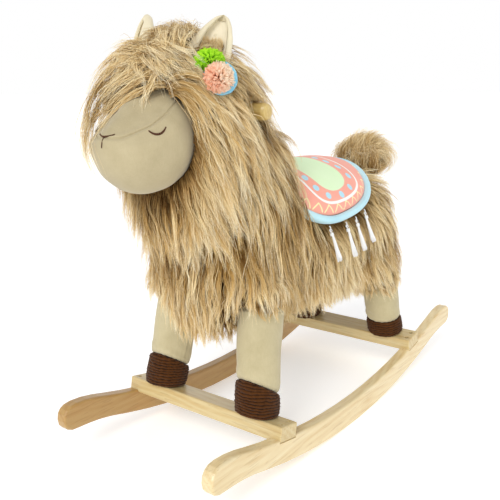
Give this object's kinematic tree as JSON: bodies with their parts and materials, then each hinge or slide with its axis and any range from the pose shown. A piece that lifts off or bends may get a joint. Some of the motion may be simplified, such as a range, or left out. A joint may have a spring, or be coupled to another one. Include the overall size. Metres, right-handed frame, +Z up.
{
  "type": "plush rocking animal",
  "caption": "Long-haired plush llama ride-on with padded saddle, tassels and a grip dowel, on a curved wooden rocker base.",
  "frame": {"origin": "on the floor under the middle of the rocker base, where the runners touch the floor at rest", "axes": "+Z up, -Y the way the animal faces, +X its left side"},
  "size_m": [0.28, 0.7504, 0.6036],
  "materials": {
    "lacquered_pine": "clear satin lacquer over pale pine",
    "plain_wood": "unfinished softwood",
    "zinc_steel": "dull zinc plating",
    "long_pile": "long wavy synthetic pile, beige tips over brown depths",
    "cream_velour": "short-pile velour",
    "ear_lining": "short-pile velour",
    "brown_corduroy": "wide-rib corduroy",
    "printed_velour": "printed short-pile velour in coral, mint, pale blue and cream",
    "blue_velour": "short-pile velour",
    "white_yarn": "cut yarn",
    "green_yarn": "cut yarn",
    "coral_yarn": "cut yarn",
    "blue_felt": "felt",
    "brown_thread": "embroidery thread"
  },
  "bodies": {
    "root": {"rocker_left": "lacquered_pine", "rocker_right": "lacquered_pine", "front_crossbar": "lacquered_pine", "rear_crossbar": "lacquered_pine", "base_screw_1": "zinc_steel", "base_screw_2": "zinc_steel", "base_screw_3": "zinc_steel", "base_screw_4": "zinc_steel", "base_screw_5": "zinc_steel", "base_screw_6": "zinc_steel", "base_screw_7": "zinc_steel", "base_screw_8": "zinc_steel", "leg_post_front_left": "plain_wood", "leg_post_front_right": "plain_wood", "leg_post_rear_left": "plain_wood", "leg_post_rear_right": "plain_wood", "leg_bolt_front_left": "zinc_steel", "leg_bolt_front_right": "zinc_steel", "leg_bolt_rear_left": "zinc_steel", "leg_bolt_rear_right": "zinc_steel", "seat_board": "plain_wood", "neck_board": "plain_wood", "handle_dowel": "lacquered_pine", "hoof_front_left": "brown_corduroy", "hoof_front_right": "brown_corduroy", "hoof_rear_left": "brown_corduroy", "hoof_rear_right": "brown_corduroy", "leg_front_left": "cream_velour", "leg_front_right": "cream_velour", "leg_rear_left": "cream_velour", "leg_rear_right": "cream_velour", "face": "cream_velour", "body_cover": "long_pile", "head_cover": "long_pile", "saddle_pad": "printed_velour", "saddle_border": "blue_velour", "pompom_green": "green_yarn", "pompom_coral": "coral_yarn", "felt_disc": "blue_felt", "eye_stitch_left": "brown_thread", "eye_stitch_right": "brown_thread", "nose_stitch": "brown_thread", "mouth_stitch": "brown_thread"},
    "tail": {"tail": "long_pile"},
    "ear_left": {"ear_left": "cream_velour", "ear_lining_left": "ear_lining"},
    "ear_right": {"ear_right": "cream_velour", "ear_lining_right": "ear_lining"},
    "tassel_left_1": {"tassel_left_1": "white_yarn"},
    "tassel_left_2": {"tassel_left_2": "white_yarn"},
    "tassel_left_3": {"tassel_left_3": "white_yarn"},
    "tassel_left_4": {"tassel_left_4": "white_yarn"},
    "tassel_right_1": {"tassel_right_1": "white_yarn"},
    "tassel_right_2": {"tassel_right_2": "white_yarn"},
    "tassel_right_3": {"tassel_right_3": "white_yarn"},
    "tassel_right_4": {"tassel_right_4": "white_yarn"}
  },
  "joints": [
    {"name": "tail_wag", "type": "hinge", "parent": "root", "child": "tail", "pos_m": [0, 0.24, 0.322], "axis": [0, 0, 1], "range_deg": [-30, 30], "stiffness_Nm_per_rad": 0.05},
    {"name": "ear_left_bend", "type": "hinge", "parent": "root", "child": "ear_left", "pos_m": [0.052, -0.25, 0.547], "axis": [0.9418, 0.2879, -0.1736], "range_deg": [-30, 10], "stiffness_Nm_per_rad": 0.02},
    {"name": "ear_right_bend", "type": "hinge", "parent": "root", "child": "ear_right", "pos_m": [-0.06, -0.25, 0.556], "axis": [0.9418, -0.2879, 0.1736], "range_deg": [-30, 10], "stiffness_Nm_per_rad": 0.02},
    {"name": "tassel_left_1_swing", "type": "hinge", "parent": "root", "child": "tassel_left_1", "pos_m": [0.10134, -0.03946, 0.31074], "axis": [0, -1, 0], "range_deg": [0, 70]},
    {"name": "tassel_left_2_swing", "type": "hinge", "parent": "root", "child": "tassel_left_2", "pos_m": [0.10679, -0.00026, 0.31104], "axis": [0, -1, 0], "range_deg": [0, 70]},
    {"name": "tassel_left_3_swing", "type": "hinge", "parent": "root", "child": "tassel_left_3", "pos_m": [0.10742, 0.02891, 0.31447], "axis": [0, -1, 0], "range_deg": [0, 70]},
    {"name": "tassel_left_4_swing", "type": "hinge", "parent": "root", "child": "tassel_left_4", "pos_m": [0.10475, 0.0621, 0.32083], "axis": [0, -1, 0], "range_deg": [0, 70]},
    {"name": "tassel_right_1_swing", "type": "hinge", "parent": "root", "child": "tassel_right_1", "pos_m": [-0.10134, -0.03946, 0.31074], "axis": [0, 1, 0], "range_deg": [0, 70]},
    {"name": "tassel_right_2_swing", "type": "hinge", "parent": "root", "child": "tassel_right_2", "pos_m": [-0.10679, -0.00026, 0.31104], "axis": [0, 1, 0], "range_deg": [0, 70]},
    {"name": "tassel_right_3_swing", "type": "hinge", "parent": "root", "child": "tassel_right_3", "pos_m": [-0.10742, 0.02891, 0.31447], "axis": [0, 1, 0], "range_deg": [0, 70]},
    {"name": "tassel_right_4_swing", "type": "hinge", "parent": "root", "child": "tassel_right_4", "pos_m": [-0.10475, 0.0621, 0.32083], "axis": [0, 1, 0], "range_deg": [0, 70]}
  ]
}
